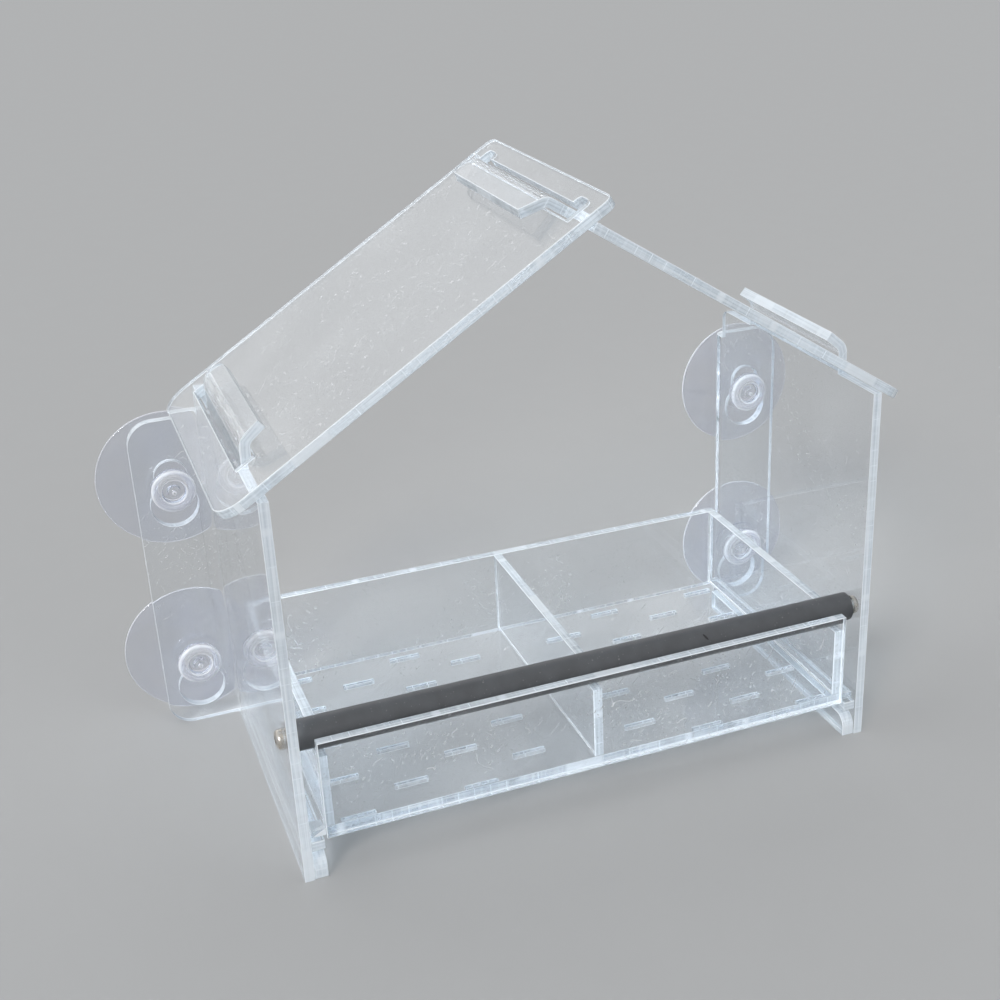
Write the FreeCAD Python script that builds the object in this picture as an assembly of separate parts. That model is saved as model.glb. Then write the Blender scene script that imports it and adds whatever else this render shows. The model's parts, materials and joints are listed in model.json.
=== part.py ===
import FreeCAD, Part
import math
import os
from FreeCAD import Vector

# Millimetres. X runs across the feeder, Y from its open front to the window, Z up.

# Sheet material and general clearances
sheet = 3.0
free_gap = 0.3

# Side panels
clear_width = 178.5
panel_height = 118.2
panel_depth = 103.0
panel_top_corner = 3.0
wing_reach = 22.4
wing_drop = 10.2
wing_corner = 8.0
wing_bend = 4.0

# Keyholes in the wings
keyhole_inset = 11.6
keyhole_from_top = 28.8
keyhole_from_bottom = 13.0
keyhole_big = 7.4
keyhole_slot = 5.0
keyhole_rise = 10.0

# Hooked tabs
tab_front = 20.0
tab_back_gap = 20.0
left_tab_straight = 1.9
right_tab_straight = 0.9
tab_flap = 4.8
tab_angle = 50.0
tab_bend = 2.5
left_tab_round = 5.5
right_tab_round = 1.0

# Roof
roof_pitch = 32.5
roof_front = 1.4
roof_back_gap = 7.5
ridge_lap = 10.5
left_eave = 10.3
right_eave = 10.3
eave_corner = 8.0
ridge_corner = 3.0
slot_front_gap = 0.6
roof_travel = 9.5
ridge_tab_front_gap = 20.0
ridge_tab_back_gap = 13.5
ridge_tab_bend = 1.0
ridge_tab_flap = 7.5
ridge_tab_round = 7.0
ridge_slot_inset = 7.7
ear_width = 6.0
ear_depth = 2.6
ear_round = 1.4

# Tray
tray_front = 0.4
tray_back_gap = 9.6
tray_level = 12.55
tray_height = 31.7
flange_width = 4.0
flange_play = 0.75
flange_front = 1.1
bevel_gap = 0.1
drain_length = 10.2
drain_width = 1.5
drain_columns = 4
drain_rows = 9
drain_front = 4.5
drain_back = 8.5
drain_side = 7.1

# Rails under the tray's flanges
rail_width = 4.05
rail_front = 0.3
rail_back_gap = 9.0
lower_rail_height = 7.3
lower_rail_round = 4.5

# Perch and its screws
perch_radius = 4.5
perch_drop = 0.65
screw_radius = 1.5
screw_depth = 10.0
screw_head_radius = 3.0
screw_head_height = 2.0
recess_length = 3.4
recess_width = 0.7
recess_depth = 1.2
screw_fit = 0.05
panel_hole_fit = 0.1

# Suction cups
cup_radius = 22.5
cup_lip = 1.4
cup_rim = 0.8
cup_dome = 46.0
cup_wall = 2.0
cup_standoff = 8.0
cup_hub = 8.0
lower_cup_lift = 9.7
upper_cup_lift = 5.8
head_radius = 7.1
head_ring = 5.2
head_thickness = 2.4
head_step = 0.9
nipple_radius = 2.0

# Positions that follow from the sizes above
inner = clear_width / 2
outer = inner + sheet
bend_y = panel_depth - sheet - wing_bend
wing_front = panel_depth - sheet
wing_edge = outer + wing_reach
wing_height = panel_height - wing_drop
keyhole_x = wing_edge - keyhole_inset
keyhole_low = keyhole_from_bottom
keyhole_high = wing_height - keyhole_from_top
overall_depth = panel_depth + cup_standoff
tab_rear = bend_y - tab_back_gap
roof_rear = panel_depth - roof_back_gap
rail_rear = panel_depth - rail_back_gap
tray_half = inner - flange_play - flange_width
tray_rear = panel_depth - tray_back_gap
tray_top = tray_level + tray_height
perch_level = tray_top - perch_drop
floor_top = tray_level + sheet
perch_y = tray_front + sheet + free_gap + perch_radius
pitch = math.radians(roof_pitch)
up_left = Vector(math.cos(pitch), 0, math.sin(pitch))
out_left = Vector(-math.sin(pitch), 0, math.cos(pitch))
up_right = Vector(-math.cos(pitch), 0, math.sin(pitch))
out_right = Vector(math.sin(pitch), 0, math.cos(pitch))
eave_left = Vector(-outer, 0, panel_height)
eave_right = Vector(outer, 0, panel_height)
along = Vector(0, 1, 0)


def block(x0, x1, y0, y1, z0, z1):
    return Part.makeBox(x1 - x0, y1 - y0, z1 - z0, Vector(x0, y0, z0))


def mirrored(shape):
    return shape.mirror(Vector(0, 0, 0), Vector(1, 0, 0))


def joined(shapes):
    return shapes[0].multiFuse(shapes[1:]).removeSplitter()


def rounded_face(points, radii):
    """Flat face on the given corners, each rounded to its own radius (0 leaves it sharp)."""
    runs = []
    for i, corner in enumerate(points):
        to_last = (points[i - 1] - corner).normalize()
        to_next = (points[(i + 1) % len(points)] - corner).normalize()
        if radii[i] == 0:
            runs.append((corner, None, corner))
            continue
        half = to_last.getAngle(to_next) / 2
        reach = radii[i] / math.tan(half)
        centre = corner + (to_last + to_next).normalize() * (radii[i] / math.sin(half))
        middle = centre + (corner - centre).normalize() * radii[i]
        runs.append((corner + to_last * reach, middle, corner + to_next * reach))
    edges = []
    for i, (start, middle, end) in enumerate(runs):
        if middle is not None:
            edges.append(Part.Arc(start, middle, end).toShape())
        edges.append(Part.makeLine(end, runs[(i + 1) % len(runs)][0]))
    return Part.Face(Part.Wire(edges))


def bent_tab(root, rise, inward, straight, radius, flap, front, rear, rounding):
    """Sheet tab that leaves root along rise, bends towards inward and ends in a flat flap.

    root lies on the face inside the bend, in the plane y = 0; the flap's rear corner is rounded.
    """
    turn = math.radians(tab_angle)
    centre = root + rise * straight + inward * radius
    rise_end = rise * math.cos(turn) + inward * math.sin(turn)
    in_end = inward * math.cos(turn) - rise * math.sin(turn)
    in_mid = inward * math.cos(turn / 2) - rise * math.sin(turn / 2)
    wide = radius + sheet
    a = [root, centre - inward * radius, centre - in_mid * radius, centre - in_end * radius]
    b = [root - inward * sheet, centre - inward * wide, centre - in_mid * wide,
         centre - in_end * wide]
    tip_a = a[3] + rise_end * flap
    tip_b = b[3] + rise_end * flap
    edges = [Part.makeLine(a[0], a[1]), Part.Arc(a[1], a[2], a[3]).toShape(),
             Part.makeLine(a[3], tip_a), Part.makeLine(tip_a, tip_b),
             Part.makeLine(tip_b, b[3]), Part.Arc(b[3], b[2], b[1]).toShape(),
             Part.makeLine(b[1], b[0]), Part.makeLine(b[0], a[0])]
    tab = Part.Face(Part.Wire(edges)).extrude(along * (rear - front))
    tab.translate(along * front)
    tip = tip_a + along * rear + in_end
    back = tip - along * rounding
    low = tip - rise_end * rounding
    bulge = tip - (along + rise_end) * (rounding * (1 - math.sqrt(0.5)))
    corner = [Part.Arc(back, bulge, low).toShape(),
              Part.makeLine(low, low + along), Part.makeLine(low + along, tip + along + rise_end),
              Part.makeLine(tip + along + rise_end, back + rise_end),
              Part.makeLine(back + rise_end, back)]
    return tab.cut(Part.Face(Part.Wire(corner)).extrude(in_end * -(sheet + 2)))


def keyhole(level):
    """Cutter for a keyhole in the left wing, its narrow slot above the round hole."""
    low = Vector(-keyhole_x, wing_front - 1, level)
    high = low + Vector(0, 0, keyhole_rise)
    through = sheet + 2
    slot = block(-keyhole_x - keyhole_slot, -keyhole_x + keyhole_slot,
                 wing_front - 1, wing_front - 1 + through, level, level + keyhole_rise)
    return joined([Part.makeCylinder(keyhole_big, through, low, along),
                   Part.makeCylinder(keyhole_slot, through, high, along), slot])


def side_panel(tab_straight, tab_round):
    """Left side panel: flat side, bent wing at the back and a hooked tab on the top edge."""
    flat = rounded_face([Vector(-inner, 0, 0), Vector(-inner, bend_y, 0),
                         Vector(-inner, bend_y, panel_height), Vector(-inner, 0, panel_height)],
                        [0, 0, panel_top_corner, 0]).extrude(Vector(-sheet, 0, 0))
    hub = Vector(-outer - wing_bend, bend_y, 0)
    diagonal = Vector(1, 1, 0).normalize()
    wide = wing_bend + sheet
    ring = [Part.Arc(hub + Vector(wide, 0, 0), hub + diagonal * wide, hub + along * wide),
            Part.LineSegment(hub + along * wide, hub + along * wing_bend),
            Part.Arc(hub + along * wing_bend, hub + diagonal * wing_bend,
                     hub + Vector(wing_bend, 0, 0)),
            Part.LineSegment(hub + Vector(wing_bend, 0, 0), hub + Vector(wide, 0, 0))]
    curve = Part.Face(Part.Wire([piece.toShape() for piece in ring]))
    curve = curve.extrude(Vector(0, 0, wing_height))
    wing = rounded_face([Vector(hub.x, wing_front, 0), Vector(-wing_edge, wing_front, 0),
                         Vector(-wing_edge, wing_front, wing_height),
                         Vector(hub.x, wing_front, wing_height)],
                        [0, wing_corner, wing_corner, 0]).extrude(along * sheet)
    tab = bent_tab(Vector(-inner, 0, panel_height), Vector(0, 0, 1), Vector(1, 0, 0),
                   tab_root() + tab_straight, tab_bend, tab_flap, tab_front, tab_rear, tab_round)
    panel = joined([flat, curve, wing, tab])
    for level in [keyhole_low, keyhole_high]:
        panel = panel.cut(keyhole(level))
    hole = Part.makeCylinder(screw_radius + panel_hole_fit, sheet + 2,
                             Vector(-outer - 1, perch_y, perch_level), Vector(1, 0, 0))
    return panel.cut(hole)


def tab_root():
    """Height of a side tab, on its inner face, up to the roof's top surface."""
    return sheet * math.tan(pitch) + sheet / math.cos(pitch)


def on_roof(eave, up, s, y):
    return eave + up * s + along * y


def roof_sheet(eave, up, out, low, high, corners):
    """Roof panel between two slope distances, with the slot for the side panel's tab."""
    outline = [(low, roof_front), (high, roof_front), (high, roof_rear), (low, roof_rear)]
    panel = rounded_face([on_roof(eave, up, s, y) for s, y in outline], corners)
    panel = panel.extrude(out * sheet)
    slot_low = -free_gap
    slot_high = (sheet + sheet * math.sin(pitch)) / math.cos(pitch) + free_gap
    y0 = tab_front - slot_front_gap
    y1 = tab_rear + roof_travel + free_gap
    outline = [(slot_low, y0), (slot_high, y0), (slot_high, y1), (slot_low, y1)]
    slot = rounded_face([on_roof(eave, up, s, y) for s, y in outline], [0, 0, 0, 0])
    slot.translate(out * -1)
    return panel.cut(slot.extrude(out * (sheet + 2)))


def right_end():
    """Slope distance at which the right roof's upper edge meets the left roof's underside."""
    return (outer / math.cos(pitch)) - sheet / math.tan(2 * pitch)


def left_roof():
    meet = outer / math.cos(pitch)
    roof = roof_sheet(eave_left, up_left, out_left, -left_eave, meet + ridge_lap,
                      [eave_corner, ridge_corner, ridge_corner, eave_corner])
    low = meet - sheet / math.tan(2 * pitch) - free_gap
    high = meet + sheet / math.sin(2 * pitch) + free_gap
    ear = high + ear_depth
    y0 = roof_front + ridge_slot_inset
    y1 = roof_rear - ridge_slot_inset
    outline = [(low, y0), (ear, y0), (ear, y0 + ear_width), (high, y0 + ear_width),
               (high, y1 - ear_width), (ear, y1 - ear_width), (ear, y1), (low, y1)]
    slot = rounded_face([on_roof(eave_left, up_left, s, y) for s, y in outline],
                        [0, ear_round, ear_round, 0, 0, ear_round, ear_round, 0])
    slot.translate(out_left * -1)
    return roof.cut(slot.extrude(out_left * (sheet + 2)))


def right_roof():
    end = right_end()
    roof = roof_sheet(eave_right, up_right, out_right, -right_eave, end,
                      [eave_corner, 0, 0, eave_corner])
    straight = outer / math.cos(pitch) - end + (sheet + free_gap) / math.sin(2 * pitch)
    tab = bent_tab(eave_right + up_right * end, up_right, out_right * -1, straight,
                   ridge_tab_bend, ridge_tab_flap, roof_front + ridge_tab_front_gap,
                   roof_rear - ridge_tab_back_gap, ridge_tab_round)
    return joined([roof, tab])


def tray_floor():
    """Floor with a flange along each side; the flanges' front edges are bevelled underneath."""
    y0 = tray_front + sheet
    y1 = tray_rear - sheet
    edge = tray_half + flange_width
    floor = block(-tray_half, tray_half, y0, y1, tray_level, floor_top)
    flange_y = tray_front + flange_front
    drop = perch_level - tray_level
    flange_bevel = math.hypot(perch_y - flange_y, drop) - drop + bevel_gap
    bevel = rounded_face([Vector(-edge - 1, flange_y - 1, tray_level - 1),
                          Vector(-edge - 1, perch_y, tray_level - 1),
                          Vector(-edge - 1, perch_y, tray_level),
                          Vector(-edge - 1, flange_y, tray_level + flange_bevel),
                          Vector(-edge - 1, flange_y - 1, tray_level + flange_bevel)],
                         [0, 0, 0, 0, 0]).extrude(Vector(flange_width + 1, 0, 0))
    flange = block(-edge, -tray_half, flange_y, tray_rear - flange_front, tray_level, floor_top)
    flange = flange.cut(bevel)
    floor = joined([floor, flange, mirrored(flange)])
    return floor.cut(Part.makeCompound(drain_slots()))


def drain_slots():
    """Short slots across the floor, in columns that are staggered by half their spacing."""
    pitch_x = (tray_half - sheet - drain_side) / drain_columns
    first = tray_front + drain_front
    pitch_y = (tray_rear - drain_back - first) / (drain_rows - 1)
    slots = []
    for column in range(1, drain_columns + 1):
        for row in range(column % 2, drain_rows, 2):
            x = column * pitch_x
            y = first + row * pitch_y
            slot = block(x - drain_length / 2, x + drain_length / 2, y - drain_width / 2,
                         y + drain_width / 2, tray_level - 1, floor_top + 1)
            slots += [slot, mirrored(slot)]
    return slots


def cross_wall(front):
    return block(-tray_half, tray_half, front, front + sheet, tray_level, tray_top)


def long_wall(x):
    """Tray wall from front to back, with a rounded notch under the perch."""
    y0 = tray_front + sheet
    y1 = tray_rear - sheet
    reach = perch_radius + free_gap
    seat = perch_level - reach
    return rounded_face([Vector(x, y0, floor_top), Vector(x, y1, floor_top),
                         Vector(x, y1, tray_top), Vector(x, perch_y + reach, tray_top),
                         Vector(x, perch_y + reach, seat), Vector(x, y0, seat)],
                        [0, 0, 0, 0, perch_radius, 0]).extrude(Vector(sheet, 0, 0))


def upper_rail():
    return block(-inner, -inner + rail_width, rail_front, rail_rear,
                 tray_level - sheet, tray_level)


def lower_rail():
    return rounded_face([Vector(-inner, rail_front, 0), Vector(-inner, rail_rear, 0),
                         Vector(-inner, rail_rear, lower_rail_height),
                         Vector(-inner, rail_front, lower_rail_height)],
                        [0, 0, 0, lower_rail_round]).extrude(Vector(rail_width, 0, 0))


def perch():
    """Rod between the side panels with a blind screw hole in each end."""
    rod = Part.makeCylinder(perch_radius, clear_width,
                            Vector(-inner, perch_y, perch_level), Vector(1, 0, 0))
    hole = Part.makeCylinder(screw_radius + screw_fit, screw_depth + 0.5,
                             Vector(-inner, perch_y, perch_level), Vector(1, 0, 0))
    return rod.cut(hole).cut(mirrored(hole))


def perch_screw():
    """Left screw: a domed, cross-recessed head on the panel's outer face and a shank."""
    at = Vector(-outer, perch_y, perch_level)
    shank = Part.makeCylinder(screw_radius, sheet + screw_depth, at, Vector(1, 0, 0))
    head = Part.makeCylinder(screw_head_radius, screw_head_height, at, Vector(-1, 0, 0))
    rim = [edge for edge in head.Edges if edge.BoundBox.XMax < -outer - screw_head_height + 0.01]
    screw = joined([head.makeFillet(screw_head_height * 0.6, rim), shank])
    tip = -outer - screw_head_height
    for wide, tall in [(recess_length, recess_width), (recess_width, recess_length)]:
        screw = screw.cut(block(tip - 1, tip + recess_depth, perch_y - wide / 2,
                                perch_y + wide / 2, perch_level - tall / 2,
                                perch_level + tall / 2))
    return screw


def dome(start, end, radius, centre):
    """Arc about a centre on the cup's axis, between two distances from that axis."""
    turn = [math.asin(r / radius) for r in (start, (start + end) / 2, end)]
    on_arc = [Vector(radius * math.sin(a), centre - radius * math.cos(a), 0) for a in turn]
    return Part.Arc(*on_arc).toShape()


def suction_cup(level):
    """Left suction cup: stepped head in front of the wing, neck, hub and a domed hollow disc."""
    back = wing_front - free_gap
    face = back - head_thickness
    hub_y = panel_depth + free_gap
    neck = keyhole_slot - free_gap
    rim_y = overall_depth - cup_rim
    lip = cup_radius - cup_lip
    centre = rim_y + math.sqrt(cup_dome ** 2 - cup_radius ** 2)
    crown = centre - cup_dome + cup_wall
    depth = overall_depth - crown
    hollow = (lip ** 2 + depth ** 2) / (2 * depth)
    hub_end = centre - math.sqrt(cup_dome ** 2 - cup_hub ** 2)
    corners = [(0, crown), (0, face - 2 * head_step), (nipple_radius, face - 2 * head_step),
               (nipple_radius, face - head_step), (head_ring, face - head_step), (head_ring, face),
               (head_radius, face), (head_radius, back), (neck, back), (neck, hub_y),
               (cup_hub, hub_y), (cup_hub, hub_end)]
    points = [Vector(r, y, 0) for r, y in corners]
    rim = [Vector(cup_radius, rim_y, 0), Vector(cup_radius, overall_depth, 0),
           Vector(lip, overall_depth, 0)]
    edges = [Part.makeLine(p, q) for p, q in zip(points[:-1], points[1:])]
    edges += [dome(cup_hub, cup_radius, cup_dome, centre), Part.makeLine(rim[0], rim[1]),
              Part.makeLine(rim[1], rim[2]), dome(lip, 0, hollow, crown + hollow)]
    cup = Part.Face(Part.Wire(edges)).revolve(Vector(0, 0, 0), along, 360)
    cup.translate(Vector(-keyhole_x, 0, level))
    return cup


def save(name, shape):
    shape.translate(along * (-overall_depth / 2))
    shape.exportStep("parts/" + name + ".step")


os.makedirs("parts", exist_ok=True)
save("left_side_panel", side_panel(left_tab_straight, left_tab_round))
save("right_side_panel", mirrored(side_panel(right_tab_straight, right_tab_round)))
save("left_roof_panel", left_roof())
save("right_roof_panel", right_roof())
save("tray_floor", tray_floor())
save("tray_front_wall", cross_wall(tray_front))
save("tray_back_wall", cross_wall(tray_rear - sheet))
save("tray_left_wall", long_wall(-tray_half))
save("tray_right_wall", long_wall(tray_half - sheet))
save("tray_divider", long_wall(-sheet / 2))
for side, place in [("left", lambda shape: shape), ("right", mirrored)]:
    save(side + "_upper_rail", place(upper_rail()))
    save(side + "_lower_rail", place(lower_rail()))
    save(side + "_perch_screw", place(perch_screw()))
    save("lower_" + side + "_cup", place(suction_cup(keyhole_low + lower_cup_lift)))
    save("upper_" + side + "_cup", place(suction_cup(keyhole_high + upper_cup_lift)))
save("perch_rod", perch())
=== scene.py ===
# %% [markdown]
# # A clear window feeder, finished for the camera
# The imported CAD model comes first: every sheet, rod, screw and cup is already in its true place
# and size. The lesson then gives each of them the surface that the real one has: polished
# acrylic faces, pale cut edges, soft clear cups, a satin perch and bright screws.

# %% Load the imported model
import json
import math

import bmesh
import bpy
import numpy as np
from mathutils import Euler, Matrix, Vector
from mathutils.bvhtree import BVHTree


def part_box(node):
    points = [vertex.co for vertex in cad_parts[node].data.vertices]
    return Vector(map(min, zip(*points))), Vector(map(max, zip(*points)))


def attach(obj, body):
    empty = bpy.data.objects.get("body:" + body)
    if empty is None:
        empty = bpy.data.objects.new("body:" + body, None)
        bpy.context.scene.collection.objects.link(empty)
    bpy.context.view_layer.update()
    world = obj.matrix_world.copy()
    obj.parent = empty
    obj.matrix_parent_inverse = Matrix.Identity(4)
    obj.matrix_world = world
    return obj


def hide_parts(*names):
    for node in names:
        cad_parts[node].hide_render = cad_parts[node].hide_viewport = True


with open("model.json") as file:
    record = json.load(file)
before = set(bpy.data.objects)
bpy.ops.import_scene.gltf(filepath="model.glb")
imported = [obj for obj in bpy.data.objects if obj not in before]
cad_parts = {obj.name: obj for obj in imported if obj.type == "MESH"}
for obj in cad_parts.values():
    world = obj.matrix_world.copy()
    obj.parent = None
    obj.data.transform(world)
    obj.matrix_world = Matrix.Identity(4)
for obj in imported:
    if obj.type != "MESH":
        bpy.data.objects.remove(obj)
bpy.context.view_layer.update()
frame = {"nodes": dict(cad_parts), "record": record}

nodes = frame["nodes"]
scene = bpy.context.scene
body_of_node = {node: body for body, held in frame["record"]["behaviour"]["bodies"].items()
                for node in held}

# %% [markdown]
# ## Camera
# The photograph was taken from the front left, from a little above, with the camera turned a
# touch to one side. Its place was worked out from the corners of the feeder in the picture. A
# camera's own axes are right, up and back, so a matrix with those three columns turns it.

# %% Place the camera
CAMERA_AT = Vector((-0.1424, -0.3990, 0.2678))
AZIMUTH, ELEVATION, ROLL = math.radians(-22.67), math.radians(24.12), math.radians(-1.26)
SENSOR, FOCAL_LENGTH, SHIFT = 36, 52.75, -0.10
back = Vector((math.sin(AZIMUTH) * math.cos(ELEVATION),
               -math.cos(AZIMUTH) * math.cos(ELEVATION), math.sin(ELEVATION)))
level = Vector((0, 0, 1)).cross(back).normalized()
upright = back.cross(level)
right = level * math.cos(ROLL) + upright * math.sin(ROLL)
up = upright * math.cos(ROLL) - level * math.sin(ROLL)
turn = Matrix((right, up, back)).transposed().to_4x4()
lens = bpy.data.cameras.new("camera")
lens.sensor_width, lens.lens, lens.shift_x = SENSOR, FOCAL_LENGTH, SHIFT
lens.clip_start, lens.clip_end = 0.01, 100
camera = bpy.data.objects.new("camera", lens)
scene.collection.objects.link(camera)
camera.matrix_world = Matrix.Translation(CAMERA_AT) @ turn
scene.camera = camera
print("camera at", [round(v, 3) for v in camera.matrix_world.translation], "lens", lens.lens)

# %% [markdown]
# ## Nodes by hand
# A procedural finish is a small graph of shader nodes. A few helpers keep the graphs readable:
# one adds a node and fills or links its inputs, others do one step of arithmetic each.

# %% Helpers that add nodes
MIX_INPUTS, MIX_OUTPUT = (0, 6, 7), 2  # a Mix node's sockets for share and two colours


def feed(tree, socket, value):
    """Links an input to a socket, or sets it to any other value."""
    if isinstance(value, bpy.types.NodeSocket):
        tree.links.new(value, socket)
    else:
        socket.default_value = value


def put(tree, kind, **inputs):
    """Adds a shader node and feeds its named inputs."""
    node = tree.nodes.new("ShaderNode" + kind)
    for name, value in inputs.items():
        feed(tree, node.inputs[name.replace("_", " ")], value)
    return node


def calc(tree, operation, *values):
    """One Math node; each value is a number or a socket."""
    node = tree.nodes.new("ShaderNodeMath")
    node.operation = operation
    for socket, value in zip(node.inputs, values):
        feed(tree, socket, value)
    return node.outputs[0]


def times(tree, first, second):
    return calc(tree, "MULTIPLY", first, second)


def larger(tree, first, second):
    return calc(tree, "MAXIMUM", first, second)


def rest_of_one(tree, value):
    return calc(tree, "SUBTRACT", 1.0, value)


def blend(tree, share, first, second):
    """Colour between first (share 0) and second (share 1)."""
    node = tree.nodes.new("ShaderNodeMix")
    node.data_type = "RGBA"
    for place, value in zip(MIX_INPUTS, (share, first, second)):
        feed(tree, node.inputs[place], value)
    return node.outputs[MIX_OUTPUT]


def attribute(tree, label):
    """A number that a mesh carries under a name."""
    node = tree.nodes.new("ShaderNodeAttribute")
    node.attribute_name = label
    return node.outputs["Fac"]


print("helpers for nodes ready")

# %% [markdown]
# ## Patterns and materials
# Patterns are noise on Object coordinates, counted in millimetres and drawn out along an axis
# where marks run one way. Clear plastic also has to let the lamps' light through, or the feeder
# would throw a shadow as dark as a wooden one.

# %% Helpers for patterns and materials
PER_METRE = 1000  # millimetres


def ramp(tree, value, low, high, to_low=0.0, to_high=1.0):
    """Straight line from to_low at low to to_high at high, held level outside."""
    node = put(tree, "MapRange", Value=value, From_Min=low, From_Max=high,
               To_Min=to_low, To_Max=to_high)
    return node.outputs[0]


def near(tree, value, middle, reach):
    """1 where a value is at the middle, falling to 0 at the reach on both sides."""
    away = calc(tree, "ABSOLUTE", calc(tree, "SUBTRACT", value, middle))
    return ramp(tree, away, 0.0, reach, 1.0, 0.0)


def stretched(tree, scale, turned=(0, 0, 0)):
    """Object coordinates in millimetres, turned first and then times a scale for each axis."""
    place = tree.nodes.new("ShaderNodeTexCoord").outputs["Object"]
    held = put(tree, "Mapping", Vector=place, Rotation=turned).outputs[0]
    scale = tuple(PER_METRE * s for s in scale)
    return put(tree, "Mapping", Vector=held, Scale=scale).outputs[0]


def even(tree, scale):
    """Object coordinates in millimetres times one scale."""
    return stretched(tree, (scale,) * 3)


def noise(tree, vector, scale=1.0, detail=2.0, roughness=0.5, distortion=0.0):
    """Soft noise from 0 to 1 with a mean of a half."""
    node = put(tree, "TexNoise", Vector=vector, Scale=scale, Detail=detail,
               Roughness=roughness, Distortion=distortion)
    return node.outputs[0]


def empty_material(name):
    """A new material and its node tree with nothing in it."""
    material = bpy.data.materials.new(name)
    material.use_nodes = True
    material.node_tree.nodes.clear()
    return material, material.node_tree


def show(tree, surface):
    """Makes a shader the material's surface."""
    out = tree.nodes.new("ShaderNodeOutputMaterial")
    tree.links.new(surface, out.inputs["Surface"])


def let_lamps_through(tree, surface, tint):
    """Shows the surface, but lets light from lamps pass with a tint, as clear plastic does."""
    path = tree.nodes.new("ShaderNodeLightPath")
    film = put(tree, "BsdfTransparent", Color=tint)
    mix = put(tree, "MixShader", Fac=path.outputs["Is Shadow Ray"])
    tree.links.new(surface, mix.inputs[1])
    tree.links.new(film.outputs[0], mix.inputs[2])
    show(tree, mix.outputs[0])


print("helpers for patterns ready")

# %% [markdown]
# ## Polished faces
# Acrylic sheet is cast between glass plates, so its faces are flat and clear. What makes them
# visible is use: fine rubbing marks, dust that has settled in patches, a few lint fibres, and a
# very slight waviness in what they mirror. In a bend, milky streaks are painted as a highlight of
# the bend's round surface. Clear plastic bends light, so one glass-like shader does the work, and
# small patterns on Object coordinates make it a little rougher or milky where there is dirt.

# %% Dust, scratches and lint
def dust_specks(tree, spacing, largest, share):
    """Round specks: one in each Voronoi cell that the dice choose, of its own radius."""
    cells = put(tree, "TexVoronoi", Vector=even(tree, 1 / spacing), Scale=1.0)
    chance = put(tree, "SeparateColor", Color=cells.outputs["Color"]).outputs[0]
    radius = ramp(tree, chance, 1.0 - share, 1.0, 0.0, largest / spacing)
    return calc(tree, "LESS_THAN", cells.outputs["Distance"], radius)


def scratches(tree, turned):
    """Short straight hairlines: the crests of a noise drawn out along one turned axis."""
    drawn = noise(tree, stretched(tree, (2.4, 0.06, 0.9), turned), detail=0)
    return ramp(tree, drawn, 0.77, 0.81)


def lint_fibres(tree):
    """Curled fibres: a level line of one noise, kept only where a second noise is high."""
    curl = noise(tree, even(tree, 0.12), detail=0, distortion=0.4)
    patch = noise(tree, even(tree, 0.17), detail=0)
    return times(tree, near(tree, curl, 0.5, 0.009), ramp(tree, patch, 0.68, 0.71))


def settled_dirt(tree):
    """All marks together, strong in patches and faint between them."""
    speck = larger(tree, dust_specks(tree, 3.0, 0.2, 0.25), dust_specks(tree, 1.2, 0.12, 0.4))
    lines = larger(tree, scratches(tree, (0.5, 0.4, 0.9)), scratches(tree, (0.9, -0.6, -0.5)))
    dirt = larger(tree, speck, times(tree, lines, 0.4))
    dirt = larger(tree, dirt, times(tree, lint_fibres(tree), 0.6))
    settled = noise(tree, even(tree, 0.022), detail=1)
    return times(tree, dirt, ramp(tree, settled, 0.36, 0.58, 0.3, 1.0))


print("marks of use defined")

# %% Finish of the sheet faces
ACRYLIC_IOR = 1.49
CLEAR_TONE, DUST_TONE = (0.955, 0.972, 0.99, 1), (0.93, 0.94, 0.95, 1)
FACE_SHADOW = (0.91, 0.93, 0.945, 1)


def polished_acrylic():
    """Clear sheet, milky on dirt, painted highlights in bends, rough where rubbed, faintly wavy.
    """
    material, tree = empty_material("clear_acrylic")
    dirt = settled_dirt(tree)
    film = ramp(tree, noise(tree, even(tree, 0.035), detail=3), 0.45, 0.75, 0.0, 0.03)
    # painted highlight: in the bend strips the sheet is made milky in streaks, standing for the
    # bend's highlights
    bend_streaks = noise(tree, stretched(tree, (1.6, 0.1, 1.6)), detail=2)
    painted_bend_highlight = times(tree, attribute(tree, "painted_bend_highlight"), ramp(tree, bend_streaks, 0.35, 0.65, 0.12, 0.42))
    milky_dirt_and_highlight = larger(tree, times(tree, dirt, 0.7), larger(tree, film, painted_bend_highlight))
    rub = stretched(tree, (0.9, 0.9, 0.05), (0.1, 0.05, 0))
    rub = noise(tree, rub, detail=4, roughness=0.7)
    rough = calc(tree, "ADD", ramp(tree, rub, 0.5, 0.8, 0.006, 0.05), times(tree, dirt, 0.3))
    wave = noise(tree, even(tree, 0.025), detail=0)
    height = calc(tree, "ADD", wave, times(tree, rub, 0.0025))
    bump = put(tree, "Bump", Strength=0.25, Distance=0.0004, Height=height)
    shader = put(tree, "BsdfPrincipled", Roughness=rough, IOR=ACRYLIC_IOR,
                 Transmission_Weight=rest_of_one(tree, milky_dirt_and_highlight),
                 Base_Color=blend(tree, dirt, CLEAR_TONE, DUST_TONE), Normal=bump.outputs[0])
    let_lamps_through(tree, shader.outputs[0], FACE_SHADOW)
    return material


face_finish = polished_acrylic()
print("made", face_finish.name)

# %% [markdown]
# ## Cut edges
# Every outline, slot and hole in the feeder was cut through the sheet. A cut leaves the edge
# finely ground, so it scatters light and shows white with a cool tint, crossed by marks where
# the cutter moved on. Both borders of the edge carry a painted highlight, the brightest part.
# The side panels and rails have the whitest edges. On the tray, cement has flowed over the
# edges of the floor and under the walls, which makes them clearer. The pattern needs to know how
# far it is along the edge and how near to each side: the pieces below carry both as attributes.

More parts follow.
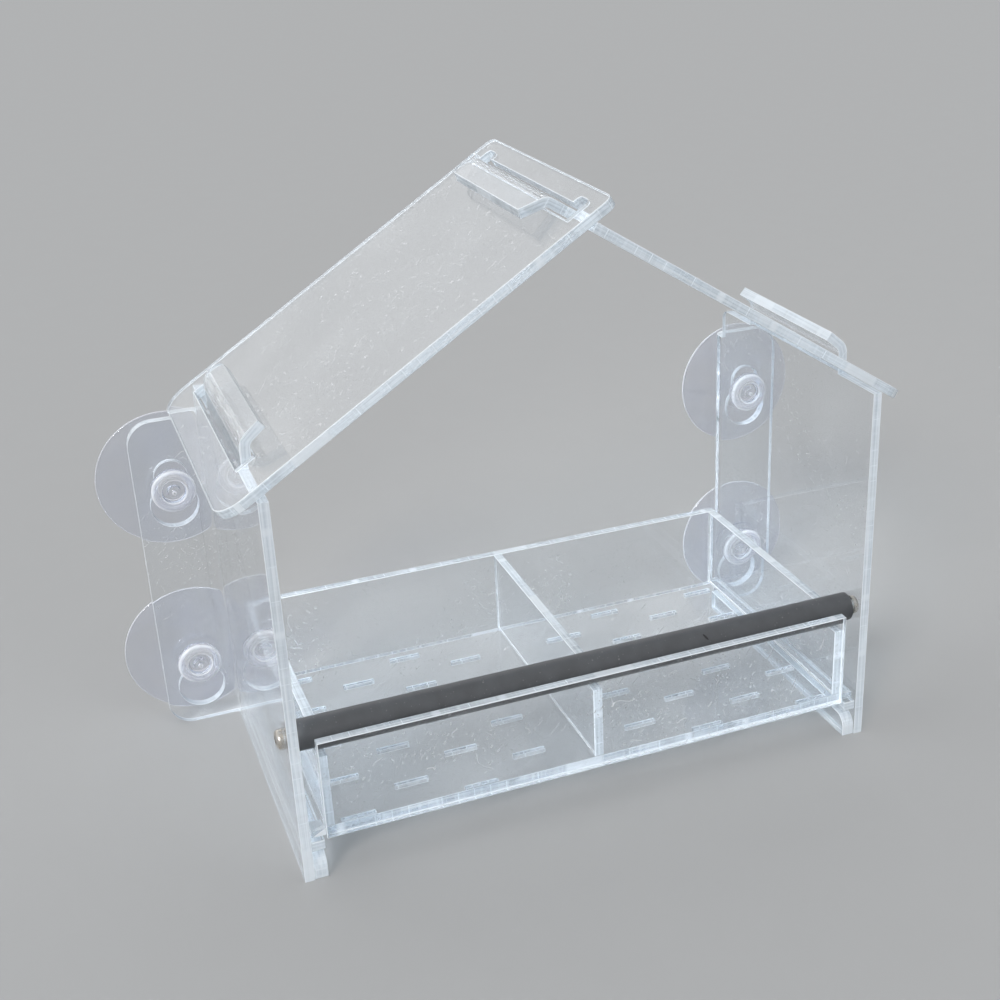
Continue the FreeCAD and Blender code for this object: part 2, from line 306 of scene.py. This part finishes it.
# %% Finish of the cut edges
EDGE_DEEP, EDGE_PALE = (0.69, 0.765, 0.835, 1), (0.88, 0.92, 0.955, 1)
EDGE_SHADOW = (0.55, 0.58, 0.6, 1)
BORDER_HIGHLIGHT_REACH = 0.14  # reach of the painted highlight at a border, as a share of the thickness


def ground_edge(name, dull, glassy, ticked):
    """Cut edge: streaks along it between two borders with painted highlights, crossed by ticks.

    Its clearness goes from dull to glassy with the streaks and from one block to the next, and
    the ticks have the given strength.
    """
    material, tree = empty_material(name)
    along, side = attribute(tree, "cut_run"), attribute(tree, "cut_side")

    def marks(scale, detail, across=0.0):
        """Noise on the distance along the edge and, if asked, on the place across it."""
        line = put(tree, "CombineXYZ", X=times(tree, along, scale), Y=times(tree, side, across))
        return noise(tree, line.outputs[0], detail=detail)

    streak = ramp(tree, marks(0.02, 1.0, across=4.0), 0.35, 0.65)
    # painted highlight: both borders of the edge are made white; white also holds the ticks, which
    # are real marks
    border_highlight = larger(tree, near(tree, side, 0.0, BORDER_HIGHLIGHT_REACH), near(tree, side, 1.0, BORDER_HIGHLIGHT_REACH))
    wide_tick = near(tree, marks(0.1, 0.0), 0.5, 0.012)
    fine_tick = times(tree, near(tree, marks(0.37, 0.0), 0.5, 0.03), 0.3)
    tick = larger(tree, wide_tick, fine_tick)
    white = larger(tree, times(tree, tick, ticked), times(tree, border_highlight, 0.9))
    slow = ramp(tree, marks(0.03, 0.0), 0.4, 0.6, 0.0, 0.3)
    step = ramp(tree, marks(0.13, 0.0), 0.46, 0.54, 0.0, 0.2)
    block = calc(tree, "ADD", calc(tree, "ADD", times(tree, streak, 0.5), slow), step)
    clear = ramp(tree, block, 0.0, 1.0, dull, glassy)
    shade = larger(tree, ramp(tree, streak, 0.0, 1.0, 0.55, 0.1), white)
    grain = noise(tree, even(tree, 0.5), detail=1)
    height = times(tree, marks(0.45, 1.0), rest_of_one(tree, border_highlight))
    bump = put(tree, "Bump", Strength=0.3, Distance=0.00008, Height=height)
    shader = put(tree, "BsdfPrincipled", IOR=ACRYLIC_IOR,
                 Roughness=ramp(tree, grain, 0.3, 0.7, 0.07, 0.18),
                 Transmission_Weight=times(tree, clear, rest_of_one(tree, white)),
                 Base_Color=blend(tree, shade, EDGE_DEEP, EDGE_PALE), Normal=bump.outputs[0])
    let_lamps_through(tree, shader.outputs[0], EDGE_SHADOW)
    return material


panel_edge_finish = ground_edge("panel_edge", dull=0.05, glassy=0.4, ticked=0.5)
edge_finish = ground_edge("cut_edge", dull=0.25, glassy=0.75, ticked=0.6)
wetted_finish = ground_edge("wetted_edge", dull=0.5, glassy=0.85, ticked=0.6)
print("made", panel_edge_finish.name, edge_finish.name, wetted_finish.name)

# %% [markdown]
# ## Which faces are polished
# The CAD meshes are loose triangles, so a copy is merged first. Then its faces can be told
# apart: where the opposite surface lies one sheet thickness behind, the face is a polished one,
# and all others are cut edges. The tray's cemented edges get a finish of their own.

# %% Sort the faces of a sheet
SHEET, RAIL = 0.003, 0.00405  # thickness of the sheets and of the lower rails
POLISHED, CUT, WETTED = 0, 1, 2  # places of the three finishes in a sheet's list
OPPOSITE = -0.9  # cosine of nearly opposite directions
sheet_nodes = {name: SHEET for name in nodes
               if name.endswith(("panel", "wall", "divider", "floor"))}
sheet_nodes.update({name: SHEET for name in nodes if name.endswith("upper_rail")})
sheet_nodes.update({name: RAIL for name in nodes if name.endswith("lower_rail")})


def sort_faces(bm, thickness):
    """Gives each face its finish and the normal of the polished face nearby.

    A face is polished if the surface nearest to its centre, moved inward by the thickness,
    looks the other way.
    """
    whole = BVHTree.FromBMesh(bm)
    for face in bm.faces:
        inside = face.calc_center_median() - face.normal * thickness
        _, normal, _, gap = whole.find_nearest(inside)
        behind = gap < 1e-4 and normal.dot(face.normal) < OPPOSITE
        face.material_index = POLISHED if behind else CUT
    polished = [face for face in bm.faces if face.material_index == POLISHED]
    nearby = BVHTree.FromPolygons([v.co for v in bm.verts],
                                  [[v.index for v in face.verts] for face in polished])
    across = bm.faces.layers.float_vector.new("across")
    for face in bm.faces:
        face[across] = nearby.find_nearest(face.calc_center_median())[1]


def wet_edges(bm, name):
    """Marks the cut faces that cement has cleared: the floor's and those that look down."""
    for face in bm.faces:
        wet = name == "tray_floor" or face.normal.z < OPPOSITE
        if face.material_index == CUT and wet:
            face.material_index = WETTED


def corners_of_one_side(bm):
    """Indices of the corners on one polished side of a sheet.

    Polished faces that share an edge are on the same side, so a walk over them that starts at
    the largest one meets that side and no other.
    """
    polished = [face for face in bm.faces if face.material_index == POLISHED]
    first = max(polished, key=lambda face: face.calc_area())
    met, waiting = {first}, [first]
    while waiting:
        face = waiting.pop()
        for beside in {f for edge in face.edges for f in edge.link_faces}:
            if beside.material_index == POLISHED and beside not in met:
                met.add(beside)
                waiting.append(beside)
    return sorted({corner.index for face in met for corner in face.verts})


print(len(sheet_nodes), "sheets to copy")

# %% [markdown]
# ## Coordinates for the cut edges
# A pattern that follows an edge round its corners can't use Object coordinates. Each sheet
# therefore carries two numbers: the distance along its cut edges and the place across them.

# %% Number the cut edges
def column(items, label, width=1, kind=float):
    """One property of all items as an array, with a row for each item."""
    values = np.empty(len(items) * width, kind)
    items.foreach_get(label, values)
    return values.reshape(-1, width) if width > 1 else values


def add_cut_side(mesh, one_side):
    """Place across the sheet: 0 at the corners of one side, 1 at those of the other."""
    side = np.ones(len(mesh.vertices))
    side[one_side] = 0
    mesh.attributes.new("cut_side", "FLOAT", "POINT").data.foreach_set("value", side)


def add_cut_run(mesh):
    """Distance along a cut edge, in mm: position dotted with normal cross sheet normal."""
    across = column(mesh.attributes["across"].data, "vector", 3)
    tangent = np.cross(column(mesh.polygons, "normal", 3), across)
    tangent = np.repeat(tangent, column(mesh.polygons, "loop_total", kind=int), axis=0)
    place = column(mesh.vertices, "co", 3)[column(mesh.loops, "vertex_index", kind=int)]
    run = np.sum(place * tangent, axis=1) * PER_METRE
    mesh.attributes.new("cut_run", "FLOAT", "CORNER").data.foreach_set("value", run)


print("edge numbers defined")

# %% [markdown]
# ## Bends
# The side panels were bent over a hot wire, which leaves a tight corner, so their bends are
# drawn tighter than in the CAD. The narrow strips in the tabs' bends are marked for milky
# streaks, a painted highlight of the bend's round surface.

# %% Tighten and mark the bends
BEND_INSIDE = 0.004  # inner radius in the CAD
BEND_SLACK = 0.003  # how much smaller the visible radius is
BEND_STRAIGHT = math.radians(90 / 7)  # turn at either end that joins the flat
BEND_STRIP = 0.001  # widest strip of a bend
EAVES = 0.11  # height above which the bends are those of tabs
QUARTER, EIGHTH = math.pi / 2, math.pi / 4


def tighten_bend(mesh, rail_box, panel_box):
    """Makes a side panel's bend tighter and leaves its two flats where they are.

    A corner of the bend is given by its distance from the hub and its turn. For turns near
    either flat it goes straight out to that flat's plane; the turns between them are spread
    over a quarter circle whose hub lies further into the corner by the slack.
    """
    outward = np.sign(panel_box[0].x + panel_box[1].x)
    face = max(rail_box[0].x * outward, rail_box[1].x * outward)
    hub = np.array([(face + SHEET + BEND_INSIDE) * outward,
                    panel_box[1].y - SHEET - BEND_INSIDE])
    place = column(mesh.vertices, "co", 3)
    off = (place[:, :2] - hub) * (-outward, 1)
    reach, turn = np.hypot(*off.T), np.arctan2(off[:, 1], off[:, 0])
    bent = (turn > 1e-4) & (turn < QUARTER - 1e-4) & (reach < BEND_INSIDE + SHEET + 1e-5)
    spread = np.clip((turn - BEND_STRAIGHT) / (QUARTER - 2 * BEND_STRAIGHT), 0, 1) * QUARTER
    toward = np.stack([np.cos(spread), np.sin(spread)], axis=1)
    curved = BEND_SLACK + (reach - BEND_SLACK)[:, None] * toward
    level = np.where((turn < EIGHTH)[:, None], np.stack([reach, off[:, 1]], axis=1),
                     np.stack([off[:, 0], reach], axis=1))
    middle = np.abs(turn - EIGHTH) < EIGHTH - BEND_STRAIGHT + 1e-3
    moved = np.where(middle[:, None], curved, level)
    place[:, :2] = np.where(bent[:, None], hub + moved * (-outward, 1), place[:, :2])
    mesh.vertices.foreach_set("co", place.ravel())
    mesh.update()


def mark_bend_highlight(mesh):
    """Marks a tab's bend strips for the painted highlight: narrow polished faces above the eaves.

    A face's width is its area over its longest edge.
    """
    start = column(mesh.polygons, "loop_start", kind=int)
    last = start + column(mesh.polygons, "loop_total", kind=int) - 1
    place = column(mesh.vertices, "co", 3)[column(mesh.loops, "vertex_index", kind=int)]
    after = np.arange(len(place)) + 1
    after[last] = start
    longest = np.maximum.reduceat(np.linalg.norm(place[after] - place, axis=1), start)
    narrow = column(mesh.polygons, "area") / longest < BEND_STRIP
    polished = column(mesh.polygons, "material_index", kind=int) == POLISHED
    # painted highlight mask: the narrow bend strips that are made milky
    painted_bend_highlight = polished & narrow & (column(mesh.polygons, "center", 3)[:, 2] > EAVES)
    mesh.attributes.new("painted_bend_highlight", "FLOAT", "FACE").data.foreach_set("value", painted_bend_highlight.astype(float))


print("bends defined")

# %% [markdown]
# ## Sheets with softened edges
# A knife-sharp edge never catches the light, so each copy gets a fine bevel. It is also drawn in
# by a hair, so that glued neighbours never share a surface, which would confuse bent light.

# %% Copies of the sheets
DRAWN_IN = 0.00002
EDGE_BEVEL = 0.00025
MERGED = 1e-6  # corners closer than this are one
FLAT, SHARP, BEVELLED = math.radians(0.2), math.radians(25), math.radians(35)


def draw_in(mesh, depth):
    """Moves every vertex inward along its normal by a small depth."""
    place = column(mesh.vertices, "co", 3) - depth * column(mesh.vertices, "normal", 3)
    mesh.vertices.foreach_set("co", place.ravel())
    mesh.update()


def sheet_mesh(name, thickness):
    """Merged copy of a CAD sheet with sorted faces, edge numbers and tight bends."""
    bm = bmesh.new()
    bm.from_mesh(nodes[name].data)
    bmesh.ops.remove_doubles(bm, verts=bm.verts, dist=MERGED)
    bm.verts.index_update()
    bm.normal_update()
    sort_faces(bm, thickness)
    if name.startswith("tray_"):
        wet_edges(bm, name)
    bmesh.ops.dissolve_limit(bm, angle_limit=FLAT, verts=bm.verts, edges=bm.edges,
                             delimit={"MATERIAL"})
    bm.verts.index_update()
    one_side = corners_of_one_side(bm)
    mesh = bpy.data.meshes.new(name + "_clear")
    bm.to_mesh(mesh)
    bm.free()
    add_cut_side(mesh, one_side)
    add_cut_run(mesh)
    if name.endswith("side_panel"):
        tighten_bend(mesh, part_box(name.replace("side_panel", "upper_rail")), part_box(name))
    mark_bend_highlight(mesh)
    draw_in(mesh, DRAWN_IN)
    return mesh


def sheet_copy(name, thickness):
    """Bevelled copy of one CAD sheet with polished faces and cut edges."""
    mesh = sheet_mesh(name, thickness)
    white = name.endswith(("side_panel", "rail"))
    mesh.materials.append(face_finish)
    mesh.materials.append(panel_edge_finish if white else edge_finish)
    if name.startswith("tray_"):
        mesh.materials.append(wetted_finish)
    mesh.shade_smooth()
    mesh.set_sharp_from_angle(angle=SHARP)
    piece = bpy.data.objects.new(name + "_clear", mesh)
    scene.collection.objects.link(piece)
    bevel = piece.modifiers.new("softened edges", "BEVEL")
    bevel.width, bevel.segments = EDGE_BEVEL, 2
    bevel.limit_method, bevel.angle_limit = "ANGLE", BEVELLED
    bevel.harden_normals, bevel.material = True, CUT
    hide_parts(name)
    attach(piece, body_of_node[name])
    return piece


for name, thickness in sheet_nodes.items():
    piece = sheet_copy(name, thickness)
    strips = column(piece.data.attributes["painted_bend_highlight"].data, "value").sum()
    print(name, len(piece.data.polygons), "faces,", int(strips), "strips in bends")

# %% [markdown]
# ## Turned shapes
# A perch and a suction cup are both round: one outline carried round an axis. The outline is a
# list of points given as distance along the axis and radius, and every point of the surface is
# axis point + radius x (cosine x one side + sine x the other side).

# %% Outline with rounded corners
def softened(points, reaches, steps=5):
    """Outline with rounded corners: each corner becomes a quadratic curve of its given reach.

    A point of the curve is (1-t)^2 x start + 2t(1-t) x corner + t^2 x end.
    """
    points = np.asarray(points, float)
    t = np.linspace(0, 1, steps)[:, None]
    runs = [points[:1]]
    for before, corner, after, reach in zip(points[:-2], points[1:-1], points[2:], reaches[1:-1]):
        to_before, to_after = before - corner, after - corner
        start = corner + to_before * min(0.5, reach / np.linalg.norm(to_before))
        end = corner + to_after * min(0.5, reach / np.linalg.norm(to_after))
        runs.append((1 - t) ** 2 * start + 2 * t * (1 - t) * corner + t ** 2 * end)
    return np.vstack(runs + [points[-1:]])


def run_along(outline):
    """Distance along an outline at each of its points."""
    steps = np.linalg.norm(np.diff(outline, axis=0), axis=1)
    return np.concatenate([[0], np.cumsum(steps)])


print("outline helpers ready")

# %% Surface of revolution
SEGMENTS = 96  # round the axis
ROUND_SHARP = math.radians(40)


def turned_mesh(name, outline, origin, axis, side):
    """Carries an outline (along, radius) round an axis, with a UV map of turn and length."""
    axis, side = np.asarray(axis, float), np.asarray(side, float)
    angle = np.linspace(0, 2 * np.pi, SEGMENTS, endpoint=False)[:, None]
    ring = np.cos(angle) * side + np.sin(angle) * np.cross(axis, side)
    place = np.asarray(origin) + outline[:, None, :1] * axis + outline[:, None, 1:] * ring[None]
    row, turn = np.meshgrid(np.arange(len(outline) - 1), np.arange(SEGMENTS), indexing="ij")
    following = (turn + 1) % SEGMENTS
    quads = np.stack([row * SEGMENTS + turn, (row + 1) * SEGMENTS + turn,
                      (row + 1) * SEGMENTS + following, row * SEGMENTS + following], axis=-1)
    turn_u = np.stack([turn, turn, turn + 1, turn + 1], axis=-1) / SEGMENTS
    length = run_along(outline) * PER_METRE
    length_v = length[np.stack([row, row + 1, row + 1, row], axis=-1)]
    mesh = bpy.data.meshes.new(name)
    mesh.from_pydata(place.reshape(-1, 3), [], quads.reshape(-1, 4))
    layer = mesh.uv_layers.new(name="turn")
    layer.data.foreach_set("uv", np.stack([turn_u, length_v], axis=-1).ravel())
    return mesh


def turned_piece(name, outline, origin, axis, side, material):
    """A turned mesh with closed ends and faces that look outward, as an object."""
    mesh = turned_mesh(name, outline, origin, axis, side)
    bm = bmesh.new()
    bm.from_mesh(mesh)
    bmesh.ops.remove_doubles(bm, verts=bm.verts, dist=1e-7)
    bmesh.ops.dissolve_degenerate(bm, edges=bm.edges, dist=1e-8)
    bmesh.ops.recalc_face_normals(bm, faces=bm.faces)
    bm.to_mesh(mesh)
    bm.free()
    mesh.materials.append(material)
    mesh.shade_smooth()
    mesh.set_sharp_from_angle(angle=ROUND_SHARP)
    piece = bpy.data.objects.new(name, mesh)
    scene.collection.objects.link(piece)
    return piece


print("turning helpers ready")

# %% [markdown]
# ## Suction cups
# The cups are moulded in soft clear plastic: a button head with a raised ring and a small
# nipple, a neck that sits in the keyhole, and a thin dished disc with a plain rim. Moulded
# plastic has rounded corners everywhere, so the outline is softened. The finish is a little
# cooler and hazier than the acrylic, with faint rays from the flow of the plastic, and painted
# highlights: it is painted whiter on the rings and the rim, where light gathers.

# %% Outline of the cups
CUP_OUTLINE = [  # distance behind the nipple's tip, radius, reach of the rounded corner, in mm
    (0.0, 0.0, 0), (0.05, 0.75, 0.35), (0.9, 0.9, 0.2), (1.0, 1.8, 0.3), (2.5, 2.2, 0.4),
    (2.7, 3.3, 0.5), (1.1, 3.8, 0.3), (0.9, 5.4, 0.5), (1.6, 6.95, 0.7), (3.9, 7.05, 0.4),
    (4.15, 6.2, 0.4), (4.15, 4.65, 0.3), (7.85, 4.65, 0.4), (7.95, 7.6, 0.5), (9.35, 8.2, 0.8),
    (10.6, 13.5, 2.5), (12.6, 19.0, 2.5), (14.3, 21.8, 0.5), (14.5, 22.35, 0.3), (15.4, 22.4, 0.4),
    (15.45, 21.3, 0.4), (13.9, 18.5, 2.5), (12.3, 13.0, 2.5), (11.2, 6.5, 2.5), (10.9, 0.0, 0)]
PAINTED_HIGHLIGHTS = [  # painted highlights: place on the outline as distance and radius, reach, strength
    (0.05, 0.6, 0.5, 0.45), (1.05, 3.85, 0.5, 0.6), (0.9, 5.4, 3.0, 0.28), (1.7, 6.9, 1.1, 0.65),
    (15.0, 22.4, 0.8, 0.7)]
points = np.array(CUP_OUTLINE)
cup_outline = softened(points[:, :2], points[:, 2])
outline_run = run_along(cup_outline)


def nearest_run(along, radius):
    """Distance along the cup's outline at its point nearest to the given one."""
    return outline_run[np.argmin(np.hypot(*(cup_outline - (along, radius)).T))]


highlight_runs = [(nearest_run(along, radius), reach, strength)
               for along, radius, reach, strength in PAINTED_HIGHLIGHTS]
print("cup outline of", len(cup_outline), "points,", round(outline_run[-1], 1), "mm long")

# %% Finish of the cups
CUP_IOR = 1.5
CUP_TONE, CUP_DEEP, CUP_HIGHLIGHT = (0.90, 0.92, 0.975, 1), (0.85, 0.87, 0.95, 1), (0.95, 0.97, 1.0, 1)
CUP_SHADOW = (0.8, 0.82, 0.86, 1)


def cup_plastic(highlight_lines):
    """Clear soft plastic, painted whiter on lines round the cup as highlights.

    A line is its place along the outline, its reach and its strength.
    """
    material, tree = empty_material("clear_cup")
    turn = put(tree, "UVMap")
    turn.uv_map = "turn"
    length = put(tree, "SeparateXYZ", Vector=turn.outputs[0]).outputs[1]
    rays = put(tree, "Mapping", Vector=turn.outputs[0], Scale=(70, 0.12, 1)).outputs[0]
    rays = noise(tree, rays, detail=2)
    haze = noise(tree, even(tree, 0.12), detail=3)
    # painted highlights: each line makes the cup whiter and less clear there
    lines = 0.0
    for place, reach, strength in highlight_lines:
        line = times(tree, near(tree, length, place, reach), strength)
        lines = calc(tree, "ADD", lines, line)
    rough = calc(tree, "ADD", ramp(tree, haze, 0.35, 0.7, 0.01, 0.04),
                 ramp(tree, rays, 0.5, 0.75, 0.0, 0.03))
    clear = calc(tree, "SUBTRACT", ramp(tree, haze, 0.4, 0.8, 0.985, 0.94), lines)
    tone = blend(tree, ramp(tree, haze, 0.3, 0.7), CUP_TONE, CUP_DEEP)
    bump = put(tree, "Bump", Strength=0.25, Distance=0.0001, Height=rays)
    shader = put(tree, "BsdfPrincipled", Roughness=rough, IOR=CUP_IOR, Transmission_Weight=clear,
                 Base_Color=blend(tree, lines, tone, CUP_HIGHLIGHT), Normal=bump.outputs[0])
    let_lamps_through(tree, shader.outputs[0], CUP_SHADOW)
    return material


cup_finish = cup_plastic(highlight_runs)
print("made", cup_finish.name)

# %% Shape of the cups
for name in [node for node in nodes if node.endswith("_cup")]:
    low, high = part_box(name)
    tip = ((low.x + high.x) / 2, low.y, (low.z + high.z) / 2)
    cup = turned_piece(name + "_soft", cup_outline / PER_METRE, tip, (0, 1, 0), (1, 0, 0),
                       cup_finish)
    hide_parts(name)
    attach(cup, body_of_node[name])
    print(cup.name, len(cup.data.polygons), "faces")

# %% [markdown]
# ## Perch
# The perch is a dark grey rod with a satin skin, held between the panels by a screw at each
# end. Its ends are lightly rounded, and the one small nick in its upper side is a dent painted
# nearly black as shade. The skin has fine lengthwise marks, a mottled sheen and fine dust, and
# is painted paler on top as a highlight of the light from above. All of that is on Object
# coordinates.

# %% Finish of the perch
# The pale tone serves the random mottle and the painted highlight on top; the nick's tone is
# painted shade in the dent.
PERCH_DARK, PERCH_PALE_AND_LIT = (0.045, 0.046, 0.048, 1), (0.092, 0.097, 0.106, 1)
PERCH_DUST, NICK_SHADE = (0.35, 0.35, 0.35, 1), (0.012, 0.012, 0.013, 1)
NICK_TURN, NICK_HALF = Euler((0, math.radians(40), 0)), (0.0003, 0.002, 0.0011)


def slanted_nick(tree, nick_at):
    """1 inside a small turned ellipsoid: place from its centre over half sizes is under 1."""
    place = tree.nodes.new("ShaderNodeTexCoord").outputs["Object"]
    place = put(tree, "Mapping", Vector=place, Rotation=NICK_TURN,
                Location=-(NICK_TURN.to_matrix() @ nick_at)).outputs[0]
    place = put(tree, "Mapping", Vector=place, Scale=tuple(1 / half for half in NICK_HALF))
    away = tree.nodes.new("ShaderNodeVectorMath")
    away.operation = "LENGTH"
    tree.links.new(place.outputs[0], away.inputs[0])
    return calc(tree, "LESS_THAN", away.outputs["Value"], 1.0)


def perch_skin(middle, radius, nick_at):
    """Satin grey, drawn lengthwise, mottled, dusty; painted highlight on top, painted shade in one
    nick.
    """
    material, tree = empty_material("perch_grey")
    draw = noise(tree, stretched(tree, (0.03, 1.6, 1.6)), detail=4, roughness=0.65)
    mottle = noise(tree, even(tree, 0.18), detail=4)
    speck = larger(tree, dust_specks(tree, 2.0, 0.3, 0.5), dust_specks(tree, 0.8, 0.16, 0.5))
    place = tree.nodes.new("ShaderNodeTexCoord").outputs["Object"]
    upward = put(tree, "SeparateXYZ", Vector=place).outputs[2]
    # painted highlight: the top of the rod is painted paler, as light from above falls on it
    painted_top_light = ramp(tree, upward, middle.z - radius, middle.z + radius, 0.0, 0.6)
    share = calc(tree, "ADD", painted_top_light, ramp(tree, mottle, 0.3, 0.7, 0.0, 0.4))
    dent = slanted_nick(tree, nick_at)
    tone = blend(tree, share, PERCH_DARK, PERCH_PALE_AND_LIT)
    tone = blend(tree, times(tree, speck, 0.35), tone, PERCH_DUST)
    # painted shade: the nick is painted nearly black
    tone = blend(tree, dent, tone, NICK_SHADE)
    height = calc(tree, "ADD", draw, times(tree, mottle, 0.5))
    height = calc(tree, "SUBTRACT", height, dent)
    bump = put(tree, "Bump", Strength=0.35, Distance=0.0001, Height=height)
    shader = put(tree, "BsdfPrincipled", Base_Color=tone, IOR=1.5, Specular_IOR_Level=0.6,
                 Roughness=ramp(tree, draw, 0.3, 0.7, 0.28, 0.44), Normal=bump.outputs[0])
    show(tree, shader.outputs[0])
    return material


print("perch finish defined")

# %% Shape of the perch
SCREW_HOLE, SCREW_DEPTH = 1.55, 10.5  # radius and depth of the blind holes, in mm
END_GAP, LONG_EDGE = 0.05, 20  # end to CAD end, and where the long faces start, in mm
NICK_FROM_MIDDLE = Vector((0.037, -0.0035, 0.0028))
low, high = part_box("perch_rod")
middle = (low + high) / 2
half = (high.x - low.x) / 2 * PER_METRE
radius = (high.z - low.z) / 2 * PER_METRE
one_end = np.array([  # distance from the end, radius, reach of the rounded corner, in mm
    (SCREW_DEPTH, 0, 0), (SCREW_DEPTH, SCREW_HOLE, 0.3), (END_GAP, SCREW_HOLE, 0.2),
    (END_GAP, radius, 0.6), (LONG_EDGE, radius, 0.5)])
rod = np.vstack([one_end - (half, 0, 0), one_end[::-1] * (-1, 1, 1) + (half, 0, 0)])
rod_outline = softened(rod[:, :2], rod[:, 2]) / PER_METRE
perch = turned_piece("perch_rod_satin", rod_outline, middle, (1, 0, 0), (0, 0, 1),
                     perch_skin(middle, radius / PER_METRE, middle + NICK_FROM_MIDDLE))
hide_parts("perch_rod")
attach(perch, body_of_node["perch_rod"])
print(perch.name, len(perch.data.polygons), "faces")

# %% [markdown]
# ## Screws
# Two plated screws hold the perch. Their CAD shape has the domed head and the cross recess, so
# it stays and only takes a finish: bright metal, slightly warm, with tarnish that makes some
# parts of the head duller than others.

# %% Finish of the screws
PLATE_BRIGHT, PLATE_TARNISHED = (0.80, 0.78, 0.74, 1), (0.66, 0.60, 0.52, 1)


def plated_metal():
    """Bright metal, warmer and duller where it has tarnished, with a fine grain."""
    material, tree = empty_material("bright_metal")
    tarnish = noise(tree, even(tree, 0.7), detail=4)
    fine = noise(tree, even(tree, 4.0), detail=2)
    tone = blend(tree, ramp(tree, tarnish, 0.35, 0.7), PLATE_BRIGHT, PLATE_TARNISHED)
    bump = put(tree, "Bump", Strength=0.2, Distance=0.00005, Height=fine)
    shader = put(tree, "BsdfPrincipled", Base_Color=tone, Metallic=1.0,
                 Roughness=ramp(tree, tarnish, 0.3, 0.7, 0.14, 0.32), Normal=bump.outputs[0])
    show(tree, shader.outputs[0])
    return material


screw_finish = plated_metal()
for name in ("left_perch_screw", "right_perch_screw"):
    nodes[name].data.materials.clear()
    nodes[name].data.materials.append(screw_finish)
print("made", screw_finish.name)

# %% [markdown]
# ## Floor
# Clear plastic shows what is round it, so the studio is plain: one pale, fully matt floor. A
# matt floor looks the same from every side, so it can meet the sky without a line.

# %% Floor
PALE, PALE_DARKER = (0.491, 0.4945, 0.4965, 1), (0.481, 0.4845, 0.4865, 1)
FLOOR_HALF = 40
SQUARE = np.array([(-1, -1, 0), (1, -1, 0), (1, 1, 0), (-1, 1, 0)])
floor_mesh = bpy.data.meshes.new("floor")
floor_mesh.from_pydata(SQUARE * FLOOR_HALF, [], [(0, 1, 2, 3)])
floor = bpy.data.objects.new("floor", floor_mesh)
scene.collection.objects.link(floor)
floor_paint, tree = empty_material("pale_floor")
paper = noise(tree, even(tree, 0.05), detail=3)
paint = put(tree, "BsdfPrincipled", Roughness=0.9, Specular_IOR_Level=0.0,
            Base_Color=blend(tree, paper, PALE_DARKER, PALE))
show(tree, paint.outputs[0])
floor_mesh.materials.append(floor_paint)
print("floor of", 2 * FLOOR_HALF, "m")

# %% [markdown]
# ## Sky and key light
# The soft sky starts in the floor's tone. Higher up it is brighter on the left, dim on the right
# and cloudy behind, which gives the roof and the round edges something to mirror. A broad
# sun-like key comes from the front left. Rays may pass many clear walls before they end, so the
# limits on bounces are raised.

# %% Soft sky
HORIZON, SKY = 0.452, 0.6  # strength at the horizon and higher up
SKY_TINT = (0.97, 0.985, 1.0, 1)


def soft_sky():
    """Sky by direction: even at the horizon; higher up bright left, dim right, cloudy behind."""
    world = bpy.data.worlds.new("soft sky")
    world.use_nodes = True
    tree = world.node_tree
    tree.nodes.clear()
    toward = tree.nodes.new("ShaderNodeTexCoord").outputs["Generated"]
    x, y, z = put(tree, "SeparateXYZ", Vector=toward).outputs
    left, right = ramp(tree, x, -0.9, -0.4, 0.25, 0.0), ramp(tree, x, 0.4, 0.95, 0.0, -0.34)
    sides = calc(tree, "ADD", calc(tree, "ADD", left, right), SKY)
    cloud = ramp(tree, noise(tree, toward, scale=3.0, detail=2), 0.3, 0.7, 0.35, 1.0)
    behind = times(tree, ramp(tree, y, 0.45, 0.95), cloud)
    shape = calc(tree, "ADD", sides, times(tree, behind, 0.6))
    change = times(tree, calc(tree, "SUBTRACT", shape, HORIZON), ramp(tree, z, 0.08, 0.3))
    light = put(tree, "Background", Color=SKY_TINT, Strength=calc(tree, "ADD", HORIZON, change))
    tree.links.new(light.outputs[0], tree.nodes.new("ShaderNodeOutputWorld").inputs["Surface"])
    return world


scene.world = soft_sky()
print("made", scene.world.name)

# %% Key light and limits
KEY_STRENGTH, KEY_SPREAD = 1.75, math.radians(16)
KEY_TOWARD = Vector((0.75, 0.7, -0.65))
sun = bpy.data.lights.new("key", "SUN")
sun.energy, sun.angle = KEY_STRENGTH, KEY_SPREAD
key = bpy.data.objects.new("key", sun)
scene.collection.objects.link(key)
key.matrix_world = KEY_TOWARD.to_track_quat("-Z", "Y").to_matrix().to_4x4()
scene.view_settings.view_transform = "Standard"
scene.cycles.max_bounces = 48
scene.cycles.transmission_bounces = 40
scene.cycles.glossy_bounces = 40
scene.cycles.transparent_max_bounces = 24
print("key light of", KEY_STRENGTH)
